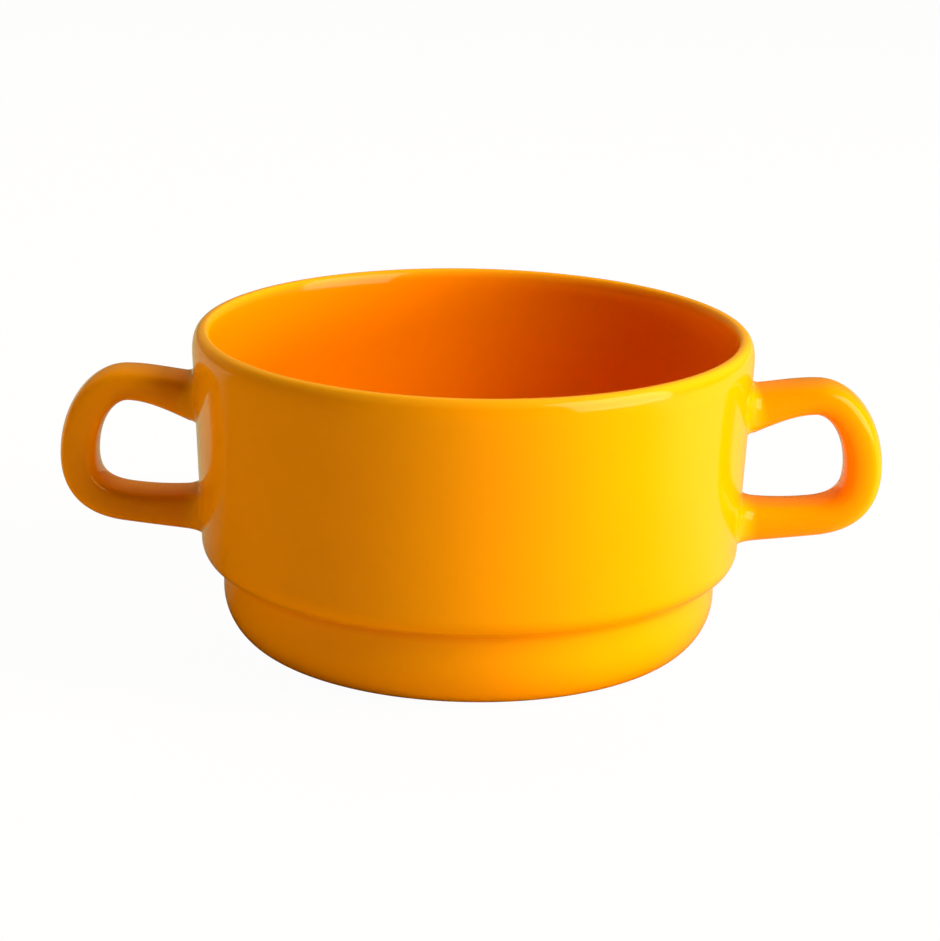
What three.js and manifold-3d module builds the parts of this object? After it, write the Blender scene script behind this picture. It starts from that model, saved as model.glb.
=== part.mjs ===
// Consomme cup: a stackable soup cup of glazed ceramic with two loop handles.
// Millimetres, +Z up. The cup's axis is Z, it stands on z = 0, and the handles lie along X.

import * as THREE from 'three';
import { mergeVertices } from 'three/addons/utils/BufferGeometryUtils.js';
import Module from 'manifold-3d';

const wasm = await Module();
wasm.setup();

// Bowl, outside
const RIM_RADIUS = 52.5;
const CUP_HEIGHT = 60;
const WALL = 3.5;
const LIP_DROP = 4.2; // height of the soft rounding outside the lip
const LIP_CROWN = 2.1; // outer wall to the crown of the lip
const WALL_LEAN = 1.8; // the wall draws in this far from the rim down to the shoulder
const SHOULDER_HEIGHT = 19.9; // the straight wall ends here
const SHOULDER_DROP = 4; // height of the rounded shoulder that rests on the rim of the cup below
const STEP_DEPTH = 4.2; // the base band is set in this far, to nest in the rim of the cup below
const CREASE_ROUND = 0.9; // hollow between the shoulder and the base band
const BASE_RISE = 10.4; // height of the rounded lower edge
const BASE_INSET = 9.5; // the rounded lower edge draws in this far to the foot

// Bowl, underside and inside
const FOOT_WIDTH = 3.4;
const FOOT_RECESS = 2;
const FLOOR_HEIGHT = 5;
const FLOOR_RADIUS = 22.5;
const HOLLOW_RISE = 10; // the inner wall starts to curve in this far above the end of the straight wall

// Handle loop, taken along the middle of the bar
const HANDLE_REACH = 24.9; // rim to the outermost face of the grip
const HANDLE_WIDTH = 11;
const ROOT_WIDTH = 12; // the bar widens to this at the wall
const GRIP_HEIGHT = 34.8; // height of the outermost point
const GRIP_THICKNESS = 7.2;
const CREST_OUT = 12.1; // rim to the highest point of the upper leg
const CREST_HEIGHT = 48.5;
const CREST_THICKNESS = 6.1;
const KNEE_OUT = 12.1; // rim to the point where the lower leg starts to bend
const KNEE_HEIGHT = 25.2;
const KNEE_THICKNESS = 6.6;
const KNEE_SLOPE = 0.12; // the lower leg still falls at this slope as it leaves the bend
const UPPER_ROOT_HEIGHT = 46;
const UPPER_ROOT_THICKNESS = 8.7;
const UPPER_ROOT_SLOPE = 0.25; // the upper leg rises at this slope as it leaves the wall
const LOWER_ROOT_HEIGHT = 24.4;
const LOWER_ROOT_THICKNESS = 8;
const BAR_SQUARENESS = 3; // 2 gives an oval bar, larger values a squarer one

// Slip joints between the handles and the wall
const SEAT_GAP = 0.25; // clearance between pieces that are set against each other
const SLIP_PAD = 0.6; // slip between the root and the wall
const SLIP_EDGE = 0.2; // thickness of the fillet where it runs out on the bar
const SIDE_FILLET = 2.5;
const UPPER_TOP_FILLET = 1.6;
const UPPER_GAP_FILLET = 0.3;
const LOWER_GAP_FILLET = 0.7;
const LOWER_BOTTOM_FILLET = 0.2;

// Facets
const TURN_STEPS = 64;
const ARC_STEPS = 3; // the curves of a profile have twice as many steps
const BAR_SIDES = 20;
const LEG_STEPS = 6;
const BEND_STEPS = 8;
const FILLET_STEPS = 5;

const GLAZE_COLOUR = 0xf49302;
const GLAZE_ROUGHNESS = 0.12;

const shoulderRadius = RIM_RADIUS - WALL_LEAN;
const bandRadius = shoulderRadius - STEP_DEPTH;
const stepHeight = SHOULDER_HEIGHT - SHOULDER_DROP;
const footRadius = bandRadius - BASE_INSET;
const lipHeight = CUP_HEIGHT - LIP_DROP;

// Outer radius of the straight wall at a height
function wallRadius(height) {
  const fall = (lipHeight - height) / (lipHeight - SHOULDER_HEIGHT);
  return RIM_RADIUS - WALL_LEAN * fall;
}

// Solids

// Closed manifold from a geometry, with shared vertices merged and empty triangles dropped
function solid(geometry) {
  const bare = new THREE.BufferGeometry();
  bare.setAttribute('position', geometry.getAttribute('position'));
  bare.setIndex(geometry.getIndex());
  const merged = mergeVertices(bare, 1e-4);
  const index = merged.getIndex().array;
  const triangles = [];
  for (let i = 0; i < index.length; i += 3) {
    const [a, b, c] = index.slice(i, i + 3);
    if (a !== b && b !== c && c !== a) triangles.push(a, b, c);
  }
  return new wasm.Manifold(
    new wasm.Mesh({
      numProp: 3,
      vertProperties: new Float32Array(merged.getAttribute('position').array),
      triVerts: new Uint32Array(triangles),
    }),
  );
}

function geometryOf(manifold) {
  const mesh = manifold.getMesh();
  const geometry = new THREE.BufferGeometry();
  geometry.setAttribute('position', new THREE.BufferAttribute(mesh.vertProperties, 3));
  geometry.setIndex(new THREE.BufferAttribute(mesh.triVerts, 1));
  geometry.computeVertexNormals();
  return geometry;
}

// Solid turned round the cup's axis from a profile of (radius, height) points that runs down its outside
function turned(points) {
  const upwards = points.toReversed();
  return solid(new THREE.LatheGeometry(upwards, TURN_STEPS).rotateX(Math.PI / 2));
}

// Solid skinned over rings with the same number of points, closed by a fan at each end
function skinned(rings) {
  const sides = rings[0].length;
  const points = rings.flat();
  const index = [];
  for (let ring = 0; ring + 1 < rings.length; ring += 1) {
    for (let side = 0; side < sides; side += 1) {
      const a = ring * sides + side;
      const b = ring * sides + ((side + 1) % sides);
      index.push(a, b, b + sides, a, b + sides, a + sides);
    }
  }
  const closings = [
    { start: 0, flip: true },
    { start: (rings.length - 1) * sides, flip: false },
  ];
  for (const { start, flip } of closings) {
    const middle = new THREE.Vector3();
    for (let side = 0; side < sides; side += 1) middle.addScaledVector(points[start + side], 1 / sides);
    const hub = points.push(middle) - 1;
    for (let side = 0; side < sides; side += 1) {
      const a = start + side;
      const b = start + ((side + 1) % sides);
      if (flip) index.push(hub, b, a);
      else index.push(hub, a, b);
    }
  }
  const geometry = new THREE.BufferGeometry().setFromPoints(points);
  geometry.setIndex(index);
  return solid(geometry);
}

// Bowl

// Adds the outside of the cup to a profile, from below the lip down to the foot
function addOutside(profile) {
  const creaseRadius = bandRadius + CREASE_ROUND;
  const shoulderReach = shoulderRadius - creaseRadius;
  const quarter = Math.PI / 2;
  profile.lineTo(shoulderRadius, SHOULDER_HEIGHT);
  profile.absellipse(creaseRadius, SHOULDER_HEIGHT, shoulderReach, SHOULDER_DROP, 0, -quarter, true);
  profile.absarc(creaseRadius, stepHeight - CREASE_ROUND, CREASE_ROUND, quarter, 2 * quarter, false);
  profile.lineTo(bandRadius, BASE_RISE);
  profile.absellipse(footRadius, BASE_RISE, BASE_INSET, BASE_RISE, 0, -quarter, true);
}

function bowlBody() {
  const hollowHeight = SHOULDER_HEIGHT + HOLLOW_RISE;
  const hollowReach = wallRadius(hollowHeight) - WALL - FLOOR_RADIUS;
  const hollowDepth = hollowHeight - FLOOR_HEIGHT;
  const crownRadius = RIM_RADIUS - LIP_CROWN;
  const lipInside = WALL - LIP_CROWN;
  const recessRadius = footRadius - FOOT_WIDTH;
  const profile = new THREE.Path();
  profile.moveTo(0, FLOOR_HEIGHT);
  profile.lineTo(FLOOR_RADIUS, FLOOR_HEIGHT);
  profile.absellipse(FLOOR_RADIUS, hollowHeight, hollowReach, hollowDepth, -Math.PI / 2, 0, false);
  profile.lineTo(RIM_RADIUS - WALL, CUP_HEIGHT - lipInside);
  profile.absarc(crownRadius, CUP_HEIGHT - lipInside, lipInside, Math.PI, Math.PI / 2, true);
  profile.absellipse(crownRadius, lipHeight, LIP_CROWN, LIP_DROP, Math.PI / 2, 0, true);
  addOutside(profile);
  profile.lineTo(recessRadius, 0);
  profile.absarc(recessRadius - FOOT_RECESS, 0, FOOT_RECESS, 0, Math.PI / 2, false);
  profile.lineTo(0, FOOT_RECESS);
  return turned(profile.getPoints(ARC_STEPS));
}

// The cup's outside as a full solid, grown outwards, to cut what is set against the wall
function wallCutter(clearance) {
  const profile = new THREE.Path();
  profile.moveTo(0, CUP_HEIGHT);
  profile.lineTo(RIM_RADIUS, CUP_HEIGHT);
  profile.lineTo(RIM_RADIUS, lipHeight);
  addOutside(profile);
  profile.lineTo(0, 0);
  const points = profile.getPoints(ARC_STEPS);
  for (const point of points) {
    if (point.x > 0) point.x += clearance;
  }
  return turned(points);
}

// Handle

const settle = (t) => 1 - (1 - t) ** 2; // leaves the root fast and arrives softly
const ease = (t) => THREE.MathUtils.smoothstep(t, 0, 1);

// The four spans of the loop, from the upper root round to the lower root
function handleSpans() {
  const at = (x, z) => new THREE.Vector3(x, 0, z);
  const round = 0.5523; // pull of a cubic curve that draws a quarter of an ellipse
  const full = 0.64; // pull that draws a fuller, squarer bend
  const third = 1 / 3;
  const upperRoot = at(wallRadius(UPPER_ROOT_HEIGHT), UPPER_ROOT_HEIGHT);
  const crest = at(RIM_RADIUS + CREST_OUT, CREST_HEIGHT);
  const grip = at(RIM_RADIUS + HANDLE_REACH - GRIP_THICKNESS / 2, GRIP_HEIGHT);
  const knee = at(RIM_RADIUS + KNEE_OUT, KNEE_HEIGHT);
  const lowerRoot = at(wallRadius(LOWER_ROOT_HEIGHT), LOWER_ROOT_HEIGHT);
  const upperPull = (crest.x - upperRoot.x) * third;
  const lowerPull = (knee.x - lowerRoot.x) * third;
  const kneePull = (grip.x - knee.x) * full;
  return [
    {
      curve: new THREE.CubicBezierCurve3(
        upperRoot,
        at(upperRoot.x + upperPull, upperRoot.z + upperPull * UPPER_ROOT_SLOPE),
        at(crest.x - upperPull, crest.z),
        crest,
      ),
      thickness: (t) => THREE.MathUtils.lerp(UPPER_ROOT_THICKNESS, CREST_THICKNESS, settle(t)),
      width: (t) => THREE.MathUtils.lerp(ROOT_WIDTH, HANDLE_WIDTH, settle(t)),
      steps: LEG_STEPS,
    },
    {
      curve: new THREE.CubicBezierCurve3(
        crest,
        at(crest.x + (grip.x - crest.x) * round, crest.z),
        at(grip.x, grip.z + (crest.z - grip.z) * round),
        grip,
      ),
      thickness: (t) => THREE.MathUtils.lerp(CREST_THICKNESS, GRIP_THICKNESS, settle(t)),
      width: () => HANDLE_WIDTH,
      steps: BEND_STEPS,
    },
    {
      curve: new THREE.CubicBezierCurve3(
        grip,
        at(grip.x, grip.z - (grip.z - knee.z) * full),
        at(knee.x + kneePull, knee.z + kneePull * KNEE_SLOPE),
        knee,
      ),
      thickness: (t) => THREE.MathUtils.lerp(GRIP_THICKNESS, KNEE_THICKNESS, ease(t)),
      width: () => HANDLE_WIDTH,
      steps: BEND_STEPS,
    },
    {
      curve: new THREE.CubicBezierCurve3(
        knee,
        at(knee.x - lowerPull, knee.z - lowerPull * KNEE_SLOPE),
        at(lowerRoot.x + lowerPull, lowerRoot.z),
        lowerRoot,
      ),
      thickness: (t) => THREE.MathUtils.lerp(LOWER_ROOT_THICKNESS, KNEE_THICKNESS, settle(1 - t)),
      width: (t) => THREE.MathUtils.lerp(ROOT_WIDTH, HANDLE_WIDTH, settle(1 - t)),
      steps: LEG_STEPS,
    },
  ];
}

// Across the bar, towards the finger gap
function towardsGap(tangent) {
  return new THREE.Vector3(tangent.z, 0, -tangent.x);
}

// Section of the bar as a ring of points
function barRing({ centre, tangent, thickness, width }) {
  const across = towardsGap(tangent);
  const soften = (value) => Math.sign(value) * Math.abs(value) ** (2 / BAR_SQUARENESS);
  const ring = [];
  for (let side = 0; side < BAR_SIDES; side += 1) {
    const angle = (2 * Math.PI * side) / BAR_SIDES;
    const point = centre.clone();
    point.addScaledVector(across, (soften(Math.cos(angle)) * thickness) / 2);
    point.y += (soften(Math.sin(angle)) * width) / 2;
    ring.push(point);
  }
  return ring;
}

function station(span, t) {
  return {
    centre: span.curve.getPoint(t),
    tangent: span.curve.getTangent(t),
    thickness: span.thickness(t),
    width: span.width(t),
  };
}

// The same section moved along the bar and widened
function shifted(section, distance, widen) {
  return {
    centre: section.centre.clone().addScaledVector(section.tangent, distance),
    tangent: section.tangent,
    thickness: section.thickness + 2 * widen,
    width: section.width + 2 * widen,
  };
}

// The whole loop, run on into the wall at both roots and grown by a clearance
function handleLoop(spans, clearance) {
  const sections = [station(spans[0], 0)];
  for (const span of spans) {
    for (let step = 1; step <= span.steps; step += 1) sections.push(station(span, step / span.steps));
  }
  sections.unshift(shifted(sections[0], -WALL, 0));
  sections.push(shifted(sections.at(-1), WALL, 0));
  return skinned(sections.map((section) => barRing(shifted(section, 0, clearance))));
}

// Height of a hollow fillet at a distance from the wall
function filletHeight(radius, distance) {
  if (distance >= radius) return 0;
  return radius - Math.sqrt(radius ** 2 - (radius - Math.max(distance, 0)) ** 2);
}

// Collar of slip round a root, hollowed towards the wall, with a fillet on the side of the finger gap
// and one on the outer side of the loop; reversed for a span that ends at the wall
function slipCollar(span, { gapFillet, outerFillet, reversed }) {
  const length = span.curve.getLength();
  const rings = [];
  for (let step = -1; step <= FILLET_STEPS; step += 1) {
    const distance = SIDE_FILLET * Math.sign(step) * (step / FILLET_STEPS) ** 2;
    const along = Math.max(distance, 0) / length;
    const section = station(span, span.curve.getUtoTmapping(reversed ? 1 - along : along));
    const cover = SEAT_GAP + SLIP_EDGE;
    const gapSide = filletHeight(gapFillet, distance);
    const outerSide = filletHeight(outerFillet, distance);
    section.thickness += 2 * cover + gapSide + outerSide;
    section.width += 2 * (cover + filletHeight(SIDE_FILLET, distance));
    section.centre.addScaledVector(towardsGap(section.tangent), (gapSide - outerSide) / 2);
    if (step < 0) section.centre.addScaledVector(section.tangent, reversed ? WALL : -WALL);
    rings.push(barRing(section));
  }
  if (reversed) rings.reverse();
  return skinned(rings);
}

// Assembly

function named(name, manifold) {
  const material = new THREE.MeshStandardMaterial({
    color: GLAZE_COLOUR,
    roughness: GLAZE_ROUGHNESS,
    metalness: 0,
  });
  const mesh = new THREE.Mesh(geometryOf(manifold), material);
  mesh.name = name;
  return mesh;
}

const spans = handleSpans();
const padFace = SEAT_GAP + SLIP_PAD;
const slipSeat = wallCutter(SEAT_GAP);
const handleSolid = handleLoop(spans, 0).subtract(wallCutter(padFace + SEAT_GAP));
const handleRoom = handleLoop(spans, SEAT_GAP).subtract(wallCutter(padFace));
const upperFillets = { gapFillet: UPPER_GAP_FILLET, outerFillet: UPPER_TOP_FILLET, reversed: false };
const lowerFillets = { gapFillet: LOWER_GAP_FILLET, outerFillet: LOWER_BOTTOM_FILLET, reversed: true };
const upperSlip = slipCollar(spans[0], upperFillets).subtract(slipSeat).subtract(handleRoom);
const lowerSlip = slipCollar(spans.at(-1), lowerFillets).subtract(slipSeat).subtract(handleRoom);

const cup = new THREE.Group();
cup.add(named('bowl_body', bowlBody()));
const sides = [
  { side: 'right', turn: 0 },
  { side: 'left', turn: Math.PI },
];
for (const { side, turn } of sides) {
  const handle = new THREE.Group();
  handle.rotation.z = turn;
  handle.add(named(`handle_${side}`, handleSolid));
  handle.add(named(`slip_joint_${side}_upper`, upperSlip));
  handle.add(named(`slip_joint_${side}_lower`, lowerSlip));
  cup.add(handle);
}

export default cup;
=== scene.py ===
"""Looks of the glazed consomme cup: bowl, handle loops, slip fillets, glaze, studio and camera."""

import math
import bpy
from mathutils import Matrix, Vector
from mathutils.geometry import interpolate_bezier


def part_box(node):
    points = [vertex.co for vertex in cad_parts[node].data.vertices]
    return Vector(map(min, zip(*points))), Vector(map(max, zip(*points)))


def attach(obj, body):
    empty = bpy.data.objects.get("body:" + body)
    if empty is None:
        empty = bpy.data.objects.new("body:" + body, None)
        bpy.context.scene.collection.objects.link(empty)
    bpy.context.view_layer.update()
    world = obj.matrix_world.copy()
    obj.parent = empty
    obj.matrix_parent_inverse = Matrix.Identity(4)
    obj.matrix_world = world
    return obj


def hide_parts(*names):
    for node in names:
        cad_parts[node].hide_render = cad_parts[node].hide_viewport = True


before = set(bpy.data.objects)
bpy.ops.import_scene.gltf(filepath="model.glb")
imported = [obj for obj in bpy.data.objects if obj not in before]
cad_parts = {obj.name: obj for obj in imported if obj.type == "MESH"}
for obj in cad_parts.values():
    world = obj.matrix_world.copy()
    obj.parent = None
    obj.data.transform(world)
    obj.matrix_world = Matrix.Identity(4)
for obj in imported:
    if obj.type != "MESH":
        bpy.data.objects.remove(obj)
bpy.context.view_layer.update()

# Every size below is in millimetres until it is multiplied by MM
MM = 0.001

# Bowl, as the solids have it, apart from a softer lip
RIM_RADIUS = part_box("bowl_body")[1][0] / MM
CUP_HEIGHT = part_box("bowl_body")[1][2] / MM
WALL = 3.5
LIP_DROP = 4.2
LIP_CROWN = 2.1
LIP_INNER_DROP = 4.6
LIP_FLATNESS = 0.8
WALL_LEAN = 1.8
SHOULDER_HEIGHT = 19.9
SHOULDER_DROP = 4.0
STEP_DEPTH = 4.2
CREASE_ROUND = 0.9
BASE_RISE = 10.4
BASE_INSET = 9.5
BASE_END_ANGLE = -78
FOOT_EDGE = 0.6
FOOT_WIDTH = 3.4
FOOT_RECESS = 2.0
RECESS_START_ANGLE = 12
FLOOR_HEIGHT = 5.0
FLOOR_RADIUS = 22.5
HOLLOW_RISE = 10.0
TURN_STEPS = 192

# Steps along the parts of the bowl's profile, from the floor over the lip to the recess
FLOOR_STEPS = 6
BEND_STEPS = 24
INNER_WALL_STEPS = 12
LIP_STEPS = 28
OUTER_WALL_STEPS = 18
SHOULDER_STEPS = 16
CREASE_STEPS = 8
BAND_STEPS = 8
BASE_STEPS = 20
FOOT_STEPS = 4
RECESS_STEPS = 10
CEILING_STEPS = 8

# Centre line and section of the right handle, as the solids have them
UPPER_ROOT_HEIGHT = 46.0
UPPER_ROOT_SLOPE = 0.25
UPPER_ROOT_THICKNESS = 8.7
CREST_OUT = 12.1
CREST_HEIGHT = 48.5
CREST_THICKNESS = 6.1
GRIP_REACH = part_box("handle_right")[1][0] / MM
GRIP_HEIGHT = 34.8
GRIP_THICKNESS = 7.2
KNEE_OUT = 12.1
KNEE_HEIGHT = 25.2
KNEE_THICKNESS = 6.6
KNEE_SLOPE = 0.12
LOWER_ROOT_HEIGHT = 24.4
LOWER_ROOT_THICKNESS = 8.0
HANDLE_WIDTH = 11.0
ROOT_WIDTH = 12.0
ROUND_PULL = 0.5523
FULL_PULL = 0.64
CORNER_CUT = 0.385
OUTLINE_SHARE = 24
BURIED = 2.0
SPAN_STEPS = 24
LINE_STEPS = 64

# Slip fillets round the roots
FILLET_REACH = 3.0
SIDE_FILLET = 2.6
UPPER_TOP_FILLET = 1.7
UPPER_GAP_FILLET = 0.3
LOWER_GAP_FILLET = 0.8
LOWER_BOTTOM_FILLET = 0.2
FILLET_STEPS = 20
TUCK = 0.6
TUCK_SHRINK = 0.5

# Meshes: doubles nearer than this merge, and edges below these angles in degrees shade smooth
MERGE_DISTANCE = 0.002
BOWL_SMOOTH_ANGLE = 40
HANDLE_SMOOTH_ANGLE = 50
LOOP_LEVELS = 3
ON_WALL = 0.001

# Derived places on the bowl
lip_height = CUP_HEIGHT - LIP_DROP
crown_radius = RIM_RADIUS - LIP_CROWN
lip_inside = WALL - LIP_CROWN
shoulder_radius = RIM_RADIUS - WALL_LEAN
band_radius = shoulder_radius - STEP_DEPTH
step_height = SHOULDER_HEIGHT - SHOULDER_DROP
foot_radius = band_radius - BASE_INSET


def wall_radius(height):
    """Outer radius of the leaning wall."""
    return RIM_RADIUS - WALL_LEAN * (lip_height - height) / (lip_height - SHOULDER_HEIGHT)


hollow_height = SHOULDER_HEIGHT + HOLLOW_RISE
hollow_radius = wall_radius(hollow_height) - WALL


def deselect_all():
    """Leaves nothing selected."""
    bpy.ops.object.select_all(action="DESELECT")


def pick(piece):
    """Makes one piece the selected and active object."""
    deselect_all()
    piece.select_set(True)
    bpy.context.view_layer.objects.active = piece


def apply_modifier(piece, kind, **settings):
    """Adds a modifier to a piece and applies it."""
    pick(piece)
    modifier = piece.modifiers.new(kind.title(), kind)
    for name, value in settings.items():
        setattr(modifier, name, value)
    bpy.ops.object.modifier_apply(modifier=modifier.name)


def smooth(piece, angle):
    """Merges doubles, turns faces outwards and smooths all edges below an angle in degrees."""
    pick(piece)
    bpy.ops.object.mode_set(mode="EDIT")
    bpy.ops.mesh.select_all(action="SELECT")
    bpy.ops.mesh.remove_doubles(threshold=MERGE_DISTANCE * MM)
    bpy.ops.mesh.normals_make_consistent(inside=False)
    bpy.ops.object.mode_set(mode="OBJECT")
    bpy.ops.object.shade_smooth_by_angle(angle=math.radians(angle))


# Bowl: one profile, drawn point by point and spun about the cup's axis


def arc(centre, radii, start, end, steps):
    """Points of an elliptic arc, angles in degrees from the outward direction."""
    points = []
    for step in range(steps + 1):
        angle = math.radians(start + (end - start) * step / steps)
        points.append((centre[0] + radii[0] * math.cos(angle), centre[1] + radii[1] * math.sin(angle)))
    return points


def straight(start, end, steps):
    """Points between two ends, closer together near both ends so that the shading stays flat between them."""
    points = []
    for step in range(1, steps):
        share = (1 - math.cos(math.pi * step / steps)) / 2
        points.append((start[0] + (end[0] - start[0]) * share, start[1] + (end[1] - start[1]) * share))
    return points


def bowl_profile():
    """Half section of the bowl from the middle of its floor, over the lip and down to the recess under it."""
    inner_bend = arc(
        (FLOOR_RADIUS, hollow_height),
        (hollow_radius - FLOOR_RADIUS, hollow_height - FLOOR_HEIGHT), -90, 0, BEND_STEPS)
    round_quarter = arc((0, 0), (1, 1), 90, 0, LIP_STEPS)
    quarter = [(across ** LIP_FLATNESS, up ** LIP_FLATNESS) for across, up in round_quarter]
    lip_outer = [(crown_radius + LIP_CROWN * across, lip_height + LIP_DROP * up) for across, up in quarter]
    lip_inner = [
        (crown_radius - lip_inside * across, CUP_HEIGHT - LIP_INNER_DROP * (1 - up))
        for across, up in reversed(quarter)]
    crease_centre = (band_radius + CREASE_ROUND, step_height - CREASE_ROUND)
    shoulder = arc(
        (crease_centre[0], SHOULDER_HEIGHT),
        (shoulder_radius - crease_centre[0], SHOULDER_DROP), 0, -90, SHOULDER_STEPS)
    crease = arc(crease_centre, (CREASE_ROUND, CREASE_ROUND), 90, 180, CREASE_STEPS)
    base = arc((foot_radius, BASE_RISE), (BASE_INSET, BASE_RISE), 0, BASE_END_ANGLE, BASE_STEPS)
    foot_outer = (foot_radius + FOOT_EDGE, 0.0)
    foot_inner = (foot_radius - FOOT_WIDTH, 0.0)
    recess = arc(
        (foot_inner[0] - FOOT_RECESS, 0), (FOOT_RECESS, FOOT_RECESS), RECESS_START_ANGLE, 90, RECESS_STEPS)
    points = [(0.0, FLOOR_HEIGHT)]
    points += straight((0.0, FLOOR_HEIGHT), inner_bend[0], FLOOR_STEPS)
    points += inner_bend
    points += straight(inner_bend[-1], lip_inner[0], INNER_WALL_STEPS)
    points += lip_inner + lip_outer[1:]
    points += straight(lip_outer[-1], shoulder[0], OUTER_WALL_STEPS)
    points += shoulder + crease[1:]
    points += straight(crease[-1], base[0], BAND_STEPS)
    points += base + [foot_outer]
    points += straight(foot_outer, foot_inner, FOOT_STEPS)
    points += [foot_inner] + recess
    points += straight(recess[-1], (0.0, FOOT_RECESS), CEILING_STEPS)
    points.append((0.0, FOOT_RECESS))
    return points


def inner_radius(height):
    """Radius of the inner face: the wall's taper above, the round bottom below."""
    if height > hollow_height:
        return wall_radius(height) - WALL
    drop = min(1.0, (hollow_height - height) / (hollow_height - FLOOR_HEIGHT))
    return FLOOR_RADIUS + (hollow_radius - FLOOR_RADIUS) * math.sqrt(1 - drop * drop)


# This mark masks the painted shade inside the bowl
def mark_inside(bowl):
    """Marks how far each point lies on the inner face, from 0 outside over the lip to 1 inside."""
    marks = bowl.data.attributes.new("inside", "FLOAT", "POINT")
    for vertex, mark in zip(bowl.data.vertices, marks.data):
        height = vertex.co.z / MM
        depth = (inner_radius(height) - vertex.co.xy.length / MM) / WALL
        above = height > (FLOOR_HEIGHT + FOOT_RECESS) / 2
        mark.value = min(1.0, max(0.0, 1 + depth)) if above else 0.0


def make_bowl():
    """Draws the profile with extruded points and spins it."""
    points = [Vector((radius * MM, 0, height * MM)) for radius, height in bowl_profile()]
    deselect_all()
    bpy.ops.mesh.primitive_plane_add(size=MM, location=points[0])
    bowl = bpy.context.object
    bowl.name = "bowl"
    bpy.ops.object.transform_apply(location=True)
    bpy.ops.object.mode_set(mode="EDIT")
    bpy.ops.mesh.merge(type="CENTER")
    for before, after in zip(points, points[1:]):
        bpy.ops.mesh.extrude_region_move(TRANSFORM_OT_translate={"value": after - before})
    bpy.ops.mesh.select_all(action="SELECT")
    bpy.ops.mesh.spin(steps=TURN_STEPS, angle=2 * math.pi, center=(0, 0, 0), axis=(0, 0, 1))
    bpy.ops.object.mode_set(mode="OBJECT")
    smooth(bowl, BOWL_SMOOTH_ANGLE)
    mark_inside(bowl)
    return bowl


# Handles: a straight bar of rounded section, extruded station by station and bent along the centre line


def handle_knots():
    """Knots of the right handle's centre line with the controls before and after each, in millimetres."""
    upper = Vector((wall_radius(UPPER_ROOT_HEIGHT), 0, UPPER_ROOT_HEIGHT))
    lower = Vector((wall_radius(LOWER_ROOT_HEIGHT), 0, LOWER_ROOT_HEIGHT))
    crest = Vector((RIM_RADIUS + CREST_OUT, 0, CREST_HEIGHT))
    knee = Vector((RIM_RADIUS + KNEE_OUT, 0, KNEE_HEIGHT))
    grip = Vector((GRIP_REACH - GRIP_THICKNESS / 2, 0, GRIP_HEIGHT))
    upper_pull = (crest.x - upper.x) / 3
    lower_pull = (knee.x - lower.x) / 3
    upper_way = Vector((1, 0, UPPER_ROOT_SLOPE))
    knee_way = Vector((1, 0, KNEE_SLOPE))
    knee_pull = (grip.x - knee.x) * FULL_PULL
    return [
        (upper - upper_way * upper_pull, upper, upper + upper_way * upper_pull),
        (crest - Vector((upper_pull, 0, 0)), crest, crest + Vector(((grip.x - crest.x) * ROUND_PULL, 0, 0))),
        (grip + Vector((0, 0, (crest.z - grip.z) * ROUND_PULL)), grip,
         grip - Vector((0, 0, (grip.z - knee.z) * FULL_PULL))),
        (knee + knee_way * knee_pull, knee, knee - knee_way * lower_pull),
        (lower + Vector((lower_pull, 0, 0)), lower, lower - Vector((lower_pull, 0, 0))),
    ]


def settle(share):
    """Quick at first and easing to rest."""
    return 1 - (1 - share) ** 2


def glide(share):
    """Easing out of rest and into rest."""
    return share * share * (3 - 2 * share)


def handle_stations(knots):
    """Distance along the centre line, thickness and width of the bar at each station, in millimetres."""
    ends = [UPPER_ROOT_THICKNESS, CREST_THICKNESS, GRIP_THICKNESS, KNEE_THICKNESS, LOWER_ROOT_THICKNESS]
    stations = []
    distance = 0.0
    for span in range(len(knots) - 1):
        (_, start, leave), (reach, end, _) = knots[span], knots[span + 1]
        points = interpolate_bezier(start, leave, reach, end, SPAN_STEPS + 1)
        for step in range(SPAN_STEPS + 1):
            share = step / SPAN_STEPS
            if step:
                distance += (points[step] - points[step - 1]).length
            elif span:
                continue
            ease = [settle(share), settle(share), glide(share), 1 - settle(1 - share)][span]
            thickness = ends[span] + (ends[span + 1] - ends[span]) * ease
            root = [1 - settle(share), 0, 0, 1 - settle(1 - share)][span]
            stations.append((distance, thickness, HANDLE_WIDTH + (ROOT_WIDTH - HANDLE_WIDTH) * root))
    return stations


def section_loop(name, place, thickness, width, filled):
    """A rounded loop across X: a plane with its corners cut, subdivided, and kept as its outline alone."""
    deselect_all()
    bpy.ops.mesh.primitive_plane_add(size=2, rotation=(0, math.pi / 2, 0))
    bar = bpy.context.object
    bar.name = name
    bpy.ops.object.transform_apply(rotation=True)
    bpy.ops.object.mode_set(mode="EDIT")
    bpy.ops.mesh.bevel(offset=CORNER_CUT, affect="VERTICES", segments=1)
    bpy.ops.object.mode_set(mode="OBJECT")
    apply_modifier(bar, "SUBSURF", levels=LOOP_LEVELS, render_levels=LOOP_LEVELS)
    bpy.ops.object.mode_set(mode="EDIT")
    bpy.ops.mesh.select_all(action="SELECT")
    bpy.ops.mesh.region_to_loop()
    bpy.ops.mesh.select_all(action="INVERT")
    bpy.ops.mesh.delete(type="VERT")
    bpy.ops.mesh.select_all(action="SELECT")
    # A smooth outline through cut corners ends this far short of the plane's edge
    limit = 1 - CORNER_CUT / OUTLINE_SHARE
    scale = (1, width * MM / 2 / limit, thickness * MM / 2 / limit)
    bpy.ops.transform.resize(value=scale, center_override=(0, 0, 0))
    bpy.ops.transform.translate(value=(place * MM, 0, 0))
    if filled:
        bpy.ops.mesh.edge_face_add()
    return bar


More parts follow.
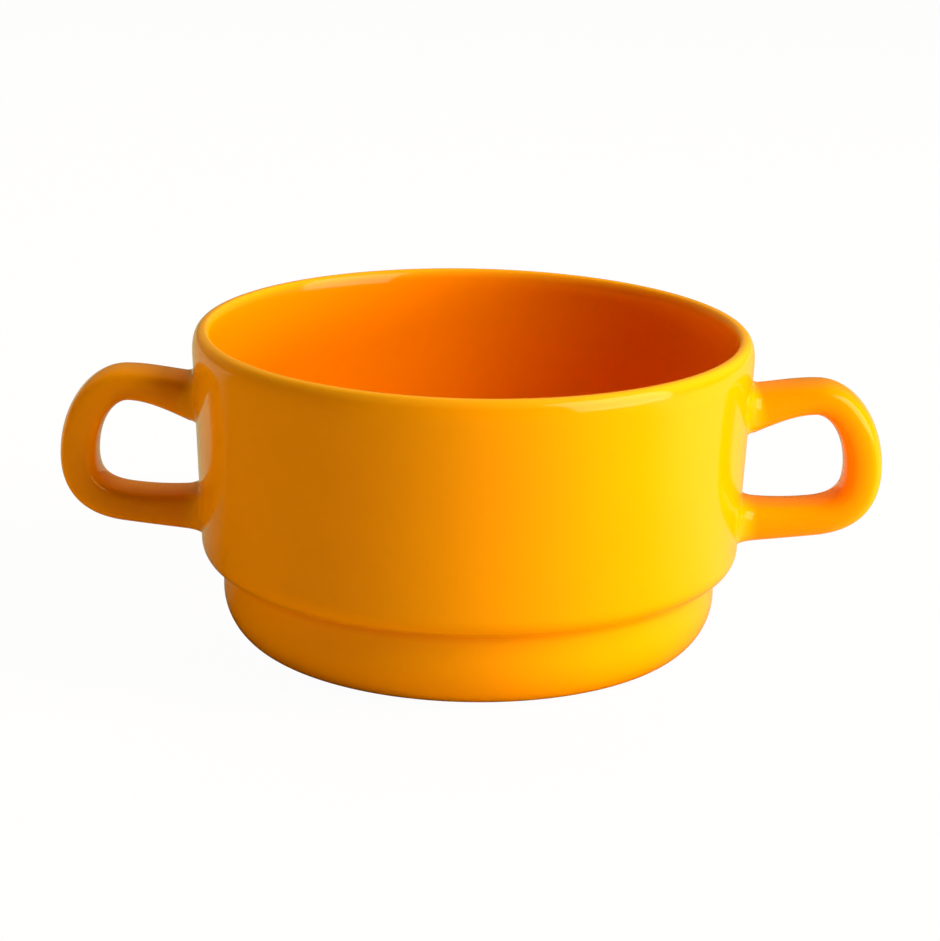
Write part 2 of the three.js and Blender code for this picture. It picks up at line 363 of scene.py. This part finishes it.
def extrude_to(before, after):
    """Extrudes the selected loop between two stations of place, low and high edge and width along X."""
    shift = ((after[0] - before[0]) * MM, 0, (after[1] + after[2] - before[1] - before[2]) / 2 * MM)
    bpy.ops.mesh.extrude_region_move(TRANSFORM_OT_translate={"value": shift})
    centre = (after[0] * MM, 0, (after[1] + after[2]) / 2 * MM)
    grow = (1, after[3] / before[3], (after[2] - after[1]) / (before[2] - before[1]))
    bpy.ops.transform.resize(value=grow, center_override=centre)


def centre_line(knots):
    """The handle's centre line as a curve for bending the bar, removed once the pieces are bent."""
    data = bpy.data.curves.new("handle_line", "CURVE")
    data.dimensions = "3D"
    data.twist_mode = "MINIMUM"
    data.resolution_u = LINE_STEPS
    spline = data.splines.new("BEZIER")
    spline.bezier_points.add(len(knots) - 1)
    for point, (before, knot, after) in zip(spline.bezier_points, knots):
        point.handle_left_type = "FREE"
        point.handle_right_type = "FREE"
        point.handle_left = before * MM
        point.co = knot * MM
        point.handle_right = after * MM
    line = bpy.data.objects.new("handle_line", data)
    bpy.context.collection.objects.link(line)
    return line


def make_handle(stations, line):
    """The right handle loop, with its ends sunk in the wall."""
    first, last = stations[0], stations[-1]
    rings = [(first[0] - BURIED, first[1], first[2])] + stations + [(last[0] + BURIED, last[1], last[2])]
    rings = [(place, -thickness / 2, thickness / 2, width) for place, thickness, width in rings]
    handle = section_loop("handle_loop_right", rings[0][0], rings[0][2] * 2, rings[0][3], True)
    for before, after in zip(rings, rings[1:]):
        extrude_to(before, after)
    bpy.ops.object.mode_set(mode="OBJECT")
    apply_modifier(handle, "CURVE", object=line, deform_axis="POS_X")
    smooth(handle, HANDLE_SMOOTH_ANGLE)
    return handle


def opposite(piece, name):
    """A copy of a right piece, turned half round the cup's axis."""
    pick(piece)
    bpy.ops.object.duplicate()
    copy = bpy.context.object
    copy.name = name
    bpy.ops.object.mode_set(mode="EDIT")
    bpy.ops.mesh.select_all(action="SELECT")
    bpy.ops.transform.rotate(value=math.pi, orient_axis="Z", center_override=(0, 0, 0))
    bpy.ops.object.mode_set(mode="OBJECT")
    return copy


# Slip fillets: a loop on the bar that flares towards the wall and is laid against it


def bar_at(stations, distance):
    """Thickness and width of the bar at a distance along it."""
    for before, after in zip(stations, stations[1:]):
        if before[0] <= distance <= after[0]:
            share = (distance - before[0]) / (after[0] - before[0])
            return [low + (high - low) * share for low, high in zip(before[1:], after[1:])]
    return list(stations[-1][1:])


def lay_on_wall(fillet, away):
    """Moves a bent fillet's points so that it runs out on the round wall, and leaves its start on the bar."""
    for vertex, distance in zip(fillet.data.vertices, away):
        height, side = vertex.co.z / MM, vertex.co.y / MM
        wall = math.sqrt(wall_radius(height) ** 2 - side ** 2)
        share = 1 - distance / FILLET_REACH
        vertex.co.x += share * (wall + distance - vertex.co.x / MM) * MM


def make_fillet(name, stations, line, upper, low_fillet, high_fillet):
    """A hollow slip fillet round one root: its low and high side are those of the bar before it is bent."""
    length = stations[-1][0]
    rings = []
    for step in range(FILLET_STEPS + 1):
        turn = math.pi / 2 * step / FILLET_STEPS
        away = FILLET_REACH * (1 - math.sin(turn))
        rise = 1 - math.cos(turn)
        place = away if upper else length - away
        thickness, width = bar_at(stations, place)
        rings.append((
            place,
            -thickness / 2 - low_fillet * rise,
            thickness / 2 + high_fillet * rise,
            width + 2 * SIDE_FILLET * rise))
    fillet = section_loop(name, rings[0][0], rings[0][2] - rings[0][1], rings[0][3], False)
    for before, after in zip(rings, rings[1:]):
        extrude_to(before, after)
    bpy.ops.object.mode_set(mode="OBJECT")
    away = [abs(vertex.co.x / MM - (0 if upper else length)) for vertex in fillet.data.vertices]
    rim = fillet.vertex_groups.new(name="rim")
    rim.add([index for index, distance in enumerate(away) if distance < ON_WALL], 1, "REPLACE")
    apply_modifier(fillet, "CURVE", object=line, deform_axis="POS_X")
    lay_on_wall(fillet, away)
    pick(fillet)
    bpy.ops.object.mode_set(mode="EDIT")
    bpy.ops.mesh.select_all(action="DESELECT")
    bpy.ops.object.vertex_group_set_active(group="rim")
    bpy.ops.object.vertex_group_select()
    bpy.ops.mesh.extrude_region_move(TRANSFORM_OT_translate={"value": (-TUCK * MM, 0, 0)})
    bpy.ops.mesh.extrude_region_move(TRANSFORM_OT_translate={"value": (0, 0, 0)})
    root_height = UPPER_ROOT_HEIGHT if upper else LOWER_ROOT_HEIGHT
    root = (wall_radius(root_height) * MM, 0, root_height * MM)
    bpy.ops.transform.resize(value=(1, TUCK_SHRINK, TUCK_SHRINK), center_override=root)
    bpy.ops.mesh.select_all(action="DESELECT")
    bpy.ops.mesh.select_non_manifold(extend=False)
    bpy.ops.mesh.bridge_edge_loops()
    bpy.ops.object.mode_set(mode="OBJECT")
    fillet.vertex_groups.clear()
    smooth(fillet, HANDLE_SMOOTH_ANGLE)
    return fillet


# Materials


def linear(code):
    """Linear colour with alpha from an sRGB hex code."""
    parts = [int(code[index:index + 2], 16) / 255 for index in (0, 2, 4)]
    return tuple(v / 12.92 if v <= 0.04045 else ((v + 0.055) / 1.055) ** 2.4 for v in parts) + (1.0,)


def add_node(tree, kind, settings=None, values=None, links=None):
    """Adds a node with its settings, the values of its free sockets and the outputs that feed the others."""
    node = tree.nodes.new(kind)
    for name, value in (settings or {}).items():
        setattr(node, name, value)
    for name, value in (values or {}).items():
        node.inputs[name].default_value = value
    for name, output in (links or {}).items():
        tree.links.new(output, node.inputs[name])
    return node


def new_material(name):
    """An empty node material and its tree."""
    material = bpy.data.materials.new(name)
    material.use_nodes = True
    material.node_tree.nodes.clear()
    return material, material.node_tree


# Colours as sRGB hex codes
GLAZE = "ED9600"
GLAZE_DRIFT = "E98F00"
# A shaded copy of the bowl's glaze for the handles, redder and a touch darker: painted shade
SHADED_HANDLE_GLAZE = "EE9100"
SHADED_HANDLE_DRIFT = "EA8A00"
# Redder and darker on the inner face: painted shade in the hollow of the bowl
INSIDE_SHADE = "EF8300"
# Paler yellow over the top of the lip: a painted highlight along the lip
PAINTED_LIP_HIGHLIGHT = "FCAE1A"
# Deeper orange in the crease under the shoulder: painted shade where the shoulder overhangs the band
CREASE_SHADE = "DD7A00"
BARE_CLAY = "E6D8BE"
PAPER = "F0E2D0"

# Glaze: pattern sizes in millimetres, shares of a mix, and gloss
DRIFT_SIZE = 28.0
DRIFT_DETAIL = 2.0
# Reach and share of the painted highlight on the lip
LIP_HIGHLIGHT_REACH = 1.6
LIP_HIGHLIGHT_SHARE = 0.7
# Reach, core and share of the painted shade in the crease
CREASE_SHADE_REACH = 1.3
CREASE_SHADE_CORE = 0.2
CREASE_SHADE_SHARE = 0.6
WIPE_GRAIN = 2.5
WIPE_DETAIL = 3.0
WIPE_RISE = 0.5
WIPE_LOW = 0.05
RIPPLE_SIZE = 7.0
RIPPLE_DETAIL = 1.0
RIPPLE_STRENGTH = 0.25
RIPPLE_DEPTH = 0.06
GLAZE_IOR = 1.5
GLOSS_CLEAR = 0.07
GLOSS_DULL = 0.11
CLAY_ROUGHNESS = 0.8


def glazed_stoneware(name, glaze, glaze_drift):
    """Opaque coloured gloss glaze, dipped and fired: even colour with a slow drift, a painted highlight that
    makes the lip paler, painted shade that deepens the crease under the shoulder and reddens the inner face,
    faintly wavy gloss, bare cream clay on the foot ring."""
    material, tree = new_material(name)
    place = add_node(tree, "ShaderNodeTexCoord").outputs["Object"]
    axes = add_node(tree, "ShaderNodeSeparateXYZ", links={"Vector": place})
    height = axes.outputs["Z"]
    drift = add_node(
        tree, "ShaderNodeTexNoise", values={"Scale": 1 / (DRIFT_SIZE * MM), "Detail": DRIFT_DETAIL},
        links={"Vector": place})
    body = add_node(
        tree, "ShaderNodeMix", {"data_type": "RGBA"}, {6: linear(glaze), 7: linear(glaze_drift)},
        {0: drift.outputs["Fac"]})
    # Darker in the crease under the shoulder: painted shade
    from_crease = add_node(
        tree, "ShaderNodeMath", {"operation": "SUBTRACT"}, {1: (step_height - CREASE_ROUND) * MM},
        {0: height})
    crease_way = add_node(
        tree, "ShaderNodeMath", {"operation": "ABSOLUTE"}, links={0: from_crease.outputs[0]})
    in_crease = add_node(
        tree, "ShaderNodeMapRange",
        values={"From Min": CREASE_SHADE_REACH * MM, "From Max": CREASE_SHADE_CORE * MM, "To Max": CREASE_SHADE_SHARE},
        links={"Value": crease_way.outputs[0]})
    crease_shaded = add_node(
        tree, "ShaderNodeMix", {"data_type": "RGBA"}, {7: linear(CREASE_SHADE)},
        {0: in_crease.outputs["Result"], 6: body.outputs[2]})
    # Redder and darker on the inner face: painted shade inside the bowl
    inside = add_node(tree, "ShaderNodeAttribute", {"attribute_name": "inside"})
    inside_shaded = add_node(
        tree, "ShaderNodeMix", {"data_type": "RGBA"}, {7: linear(INSIDE_SHADE)},
        {0: inside.outputs["Fac"], 6: crease_shaded.outputs[2]})
    # Paler towards the top of the lip: a painted highlight
    on_lip = add_node(
        tree, "ShaderNodeMapRange",
        values={
            "From Min": (CUP_HEIGHT - LIP_HIGHLIGHT_REACH) * MM, "From Max": CUP_HEIGHT * MM,
            "To Max": LIP_HIGHLIGHT_SHARE},
        links={"Value": height})
    lip_highlighted = add_node(
        tree, "ShaderNodeMix", {"data_type": "RGBA"}, {7: linear(PAINTED_LIP_HIGHLIGHT)},
        {0: on_lip.outputs["Result"], 6: inside_shaded.outputs[2]})
    ragged = add_node(
        tree, "ShaderNodeTexNoise", values={"Scale": 1 / (WIPE_GRAIN * MM), "Detail": WIPE_DETAIL},
        links={"Vector": place})
    wipe = add_node(
        tree, "ShaderNodeMath", {"operation": "MULTIPLY_ADD"}, {1: WIPE_RISE * MM, 2: WIPE_LOW * MM},
        {0: ragged.outputs["Fac"]})
    on_foot = add_node(
        tree, "ShaderNodeMath", {"operation": "LESS_THAN"}, links={0: height, 1: wipe.outputs[0]})
    coloured = add_node(
        tree, "ShaderNodeMix", {"data_type": "RGBA"}, {7: linear(BARE_CLAY)},
        {0: on_foot.outputs[0], 6: lip_highlighted.outputs[2]})
    roughness = add_node(
        tree, "ShaderNodeMapRange", values={"To Min": GLOSS_CLEAR, "To Max": GLOSS_DULL},
        links={"Value": drift.outputs["Fac"]})
    clay_roughness = add_node(
        tree, "ShaderNodeMix", {"data_type": "FLOAT"}, {3: CLAY_ROUGHNESS},
        {0: on_foot.outputs[0], 2: roughness.outputs["Result"]})
    ripple = add_node(
        tree, "ShaderNodeTexNoise", values={"Scale": 1 / (RIPPLE_SIZE * MM), "Detail": RIPPLE_DETAIL},
        links={"Vector": place})
    wavy = add_node(
        tree, "ShaderNodeBump", values={"Strength": RIPPLE_STRENGTH, "Distance": RIPPLE_DEPTH * MM},
        links={"Height": ripple.outputs["Fac"]})
    shader = add_node(
        tree, "ShaderNodeBsdfPrincipled", values={"IOR": GLAZE_IOR},
        links={"Base Color": coloured.outputs[2], "Roughness": clay_roughness.outputs[0],
               "Normal": wavy.outputs["Normal"]})
    add_node(tree, "ShaderNodeOutputMaterial", links={"Surface": shader.outputs["BSDF"]})
    return material


def finish_piece(piece, node, material):
    """Gives a piece its glaze and body, and hides the solid that it stands for."""
    piece.data.materials.clear()
    piece.data.materials.append(material)
    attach(piece, "root")
    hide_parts(node)


bowl = make_bowl()
knots = handle_knots()
stations = handle_stations(knots)
line = centre_line(knots)
handle_right = make_handle(stations, line)
handle_left = opposite(handle_right, "handle_loop_left")
fillet_right_upper = make_fillet(
    "slip_fillet_right_upper", stations, line, True, UPPER_GAP_FILLET, UPPER_TOP_FILLET)
fillet_right_lower = make_fillet(
    "slip_fillet_right_lower", stations, line, False, LOWER_GAP_FILLET, LOWER_BOTTOM_FILLET)
fillet_left_upper = opposite(fillet_right_upper, "slip_fillet_left_upper")
fillet_left_lower = opposite(fillet_right_lower, "slip_fillet_left_lower")
bpy.data.objects.remove(line)

bowl_glaze = glazed_stoneware("glazed_stoneware_bowl", GLAZE, GLAZE_DRIFT)
# The handles take the shaded copy of the glaze: painted shade on the handles
shaded_handle_glaze = glazed_stoneware("glazed_stoneware_handle", SHADED_HANDLE_GLAZE, SHADED_HANDLE_DRIFT)
joint_glaze = glazed_stoneware("glazed_stoneware_joint", GLAZE, GLAZE_DRIFT)
finish_piece(bowl, "bowl_body", bowl_glaze)
finish_piece(handle_right, "handle_right", shaded_handle_glaze)
finish_piece(handle_left, "handle_left", shaded_handle_glaze)
finish_piece(fillet_right_upper, "slip_joint_right_upper", joint_glaze)
finish_piece(fillet_right_lower, "slip_joint_right_lower", joint_glaze)
finish_piece(fillet_left_upper, "slip_joint_left_upper", joint_glaze)
finish_piece(fillet_left_lower, "slip_joint_left_lower", joint_glaze)

# Studio: a pale floor that shows white with a faint shadow, a soft key from the right and a pale room

SEEN_WHITE = 0.97
MIRRORED_PAPER = 0.5
MIRRORED_BACKDROP = 0.16
MIRRORED_TINT = (0.95, 1.0, 0.55, 1.0)
WHITE = (1.0, 1.0, 1.0, 1.0)
LIT_SIDE_LEAN = 0.35
PAPER_DARK_EDGE = -15.0
PAPER_BRIGHT_EDGE = 50.0
BACKDROP_START = 0.35
BACKDROP_FULL = 0.95
FLOOR_SIZE = 6000.0
ROOM_LIGHT = 0.01
LIGHT_DISTANCE = 900.0
LIGHT_AIM = (0.0, 0.0, 30.0)
LAMP_COLOUR = (1.0, 0.97, 0.85)
KEY_COLOUR = (1.0, 0.97, 0.58)
BOUNCE_COLOUR = (1.0, 0.8, 0.55)

# Lamps: name, turn and rise in degrees, width and height, watts, colour, and whether the gloss mirrors it
LAMPS = [
    ("key_right", 62, 25, 750, 750, 4.6, KEY_COLOUR, True),
    ("side_right", 79, 5, 900, 210, 11.9, LAMP_COLOUR, False),
    ("high_right", 66, 42, 500, 500, 6.1, LAMP_COLOUR, False),
    ("top_back", 175, 58, 500, 500, 4.2, LAMP_COLOUR, False),
    ("fill_left", -90, 3, 600, 90, 2.5, BOUNCE_COLOUR, False),
    ("back_left", -130, 20, 500, 400, 1.8, BOUNCE_COLOUR, False),
]


def ray_kinds(tree):
    """Whether a surface is seen by the eye or through glass, and whether in the gloss of the glaze."""
    path = add_node(tree, "ShaderNodeLightPath")
    seen = add_node(
        tree, "ShaderNodeMath", {"operation": "MAXIMUM"},
        links={0: path.outputs["Is Camera Ray"], 1: path.outputs["Is Transmission Ray"]})
    return seen.outputs[0], path.outputs["Is Glossy Ray"]


def pale_floor():
    """White studio paper: nearly plain white to the eye, with the cup's shadow kept faint. In the gloss of
    the glaze it is bright behind the cup and on the lit side, and dark in front of it."""
    material, tree = new_material("white_studio_paper")
    paper = add_node(tree, "ShaderNodeBsdfDiffuse", values={"Color": linear(PAPER)})
    place = add_node(tree, "ShaderNodeTexCoord").outputs["Object"]
    axes = add_node(tree, "ShaderNodeSeparateXYZ", links={"Vector": place})
    behind = add_node(
        tree, "ShaderNodeMath", {"operation": "MULTIPLY_ADD"}, {1: LIT_SIDE_LEAN},
        {0: axes.outputs["X"], 2: axes.outputs["Y"]})
    mirrored = add_node(
        tree, "ShaderNodeMapRange",
        values={
            "From Min": PAPER_DARK_EDGE * MM, "From Max": PAPER_BRIGHT_EDGE * MM,
            "To Min": 0.0, "To Max": MIRRORED_PAPER},
        links={"Value": behind.outputs[0]})
    seen, in_gloss = ray_kinds(tree)
    brightness = add_node(
        tree, "ShaderNodeMix", {"data_type": "FLOAT"}, {2: 1.0}, {0: in_gloss, 3: mirrored.outputs["Result"]})
    tint = add_node(
        tree, "ShaderNodeMix", {"data_type": "RGBA"}, {6: WHITE, 7: MIRRORED_TINT}, {0: in_gloss})
    glow = add_node(
        tree, "ShaderNodeEmission", links={"Color": tint.outputs[2], "Strength": brightness.outputs[0]})
    glowing = add_node(
        tree, "ShaderNodeMath", {"operation": "MULTIPLY_ADD"}, {1: SEEN_WHITE}, {0: seen, 2: in_gloss})
    surface = add_node(
        tree, "ShaderNodeMixShader",
        links={0: glowing.outputs[0], 1: paper.outputs["BSDF"], 2: glow.outputs["Emission"]})
    add_node(tree, "ShaderNodeOutputMaterial", links={"Surface": surface.outputs["Shader"]})
    return material


def pale_room():
    """A room that shows white and lights the cup dimly from all round. In the gloss it is a pale backdrop
    behind the cup and dark elsewhere."""
    world = bpy.data.worlds.new("pale_room")
    bpy.context.scene.world = world
    world.use_nodes = True
    tree = world.node_tree
    tree.nodes.clear()
    way = add_node(tree, "ShaderNodeTexCoord").outputs["Generated"]
    axes = add_node(tree, "ShaderNodeSeparateXYZ", links={"Vector": way})
    backdrop = add_node(
        tree, "ShaderNodeMapRange",
        values={
            "From Min": BACKDROP_START, "From Max": BACKDROP_FULL,
            "To Min": ROOM_LIGHT, "To Max": MIRRORED_BACKDROP},
        links={"Value": axes.outputs["Y"]})
    seen, in_gloss = ray_kinds(tree)
    unseen = add_node(
        tree, "ShaderNodeMix", {"data_type": "FLOAT"}, {2: ROOM_LIGHT},
        {0: in_gloss, 3: backdrop.outputs["Result"]})
    strength = add_node(
        tree, "ShaderNodeMix", {"data_type": "FLOAT"}, {3: 1.0}, {0: seen, 2: unseen.outputs[0]})
    tint = add_node(
        tree, "ShaderNodeMix", {"data_type": "RGBA"}, {6: WHITE, 7: MIRRORED_TINT}, {0: in_gloss})
    room = add_node(
        tree, "ShaderNodeBackground", links={"Color": tint.outputs[2], "Strength": strength.outputs[0]})
    add_node(tree, "ShaderNodeOutputWorld", links={"Surface": room.outputs["Background"]})


def soft_light(name, turn, rise, width, height, watts, colour, mirrored):
    """A soft box facing the cup: turn is from the front towards the right and rise is above the floor, both
    in degrees. A fill that the gloss doesn't mirror leaves the colour clear."""
    data = bpy.data.lights.new(name, "AREA")
    data.shape = "RECTANGLE"
    data.size = width * MM
    data.size_y = height * MM
    data.energy = watts
    data.color = colour
    light = bpy.data.objects.new(name, data)
    bpy.context.collection.objects.link(light)
    across = math.cos(math.radians(rise))
    way = Vector((
        math.sin(math.radians(turn)) * across, -math.cos(math.radians(turn)) * across,
        math.sin(math.radians(rise))))
    light.location = (way * LIGHT_DISTANCE + Vector(LIGHT_AIM)) * MM
    light.rotation_euler = (-way).to_track_quat("-Z", "Y").to_euler()
    light.visible_camera = False
    light.visible_glossy = mirrored


deselect_all()
bpy.ops.mesh.primitive_plane_add(size=FLOOR_SIZE * MM)
floor = bpy.context.object
floor.name = "studio_floor"
floor.data.materials.append(pale_floor())

pale_room()
for lamp in LAMPS:
    soft_light(*lamp)

# Camera at the photograph's viewing angle

CAMERA_PLACE = (0.0, -629.68, 215.13)
CAMERA_AIM = (-0.173, 0.0, 32.46)
CAMERA_ROLL = 1.2373
CAMERA_LENS = 132.75
SENSOR_WIDTH = 36.0
NEAREST_SEEN = 10.0

camera_data = bpy.data.cameras.new("camera")
camera_data.sensor_width = SENSOR_WIDTH
camera_data.lens = CAMERA_LENS
camera_data.clip_start = NEAREST_SEEN * MM
camera = bpy.data.objects.new("camera", camera_data)
bpy.context.collection.objects.link(camera)
look = (Vector(CAMERA_AIM) - Vector(CAMERA_PLACE)).to_track_quat("-Z", "Y").to_matrix().to_4x4()
camera.matrix_world = (
    Matrix.Translation(Vector(CAMERA_PLACE) * MM) @ look @ Matrix.Rotation(math.radians(CAMERA_ROLL), 4, "Z"))
bpy.context.scene.camera = camera
bpy.context.scene.view_settings.view_transform = "Standard"
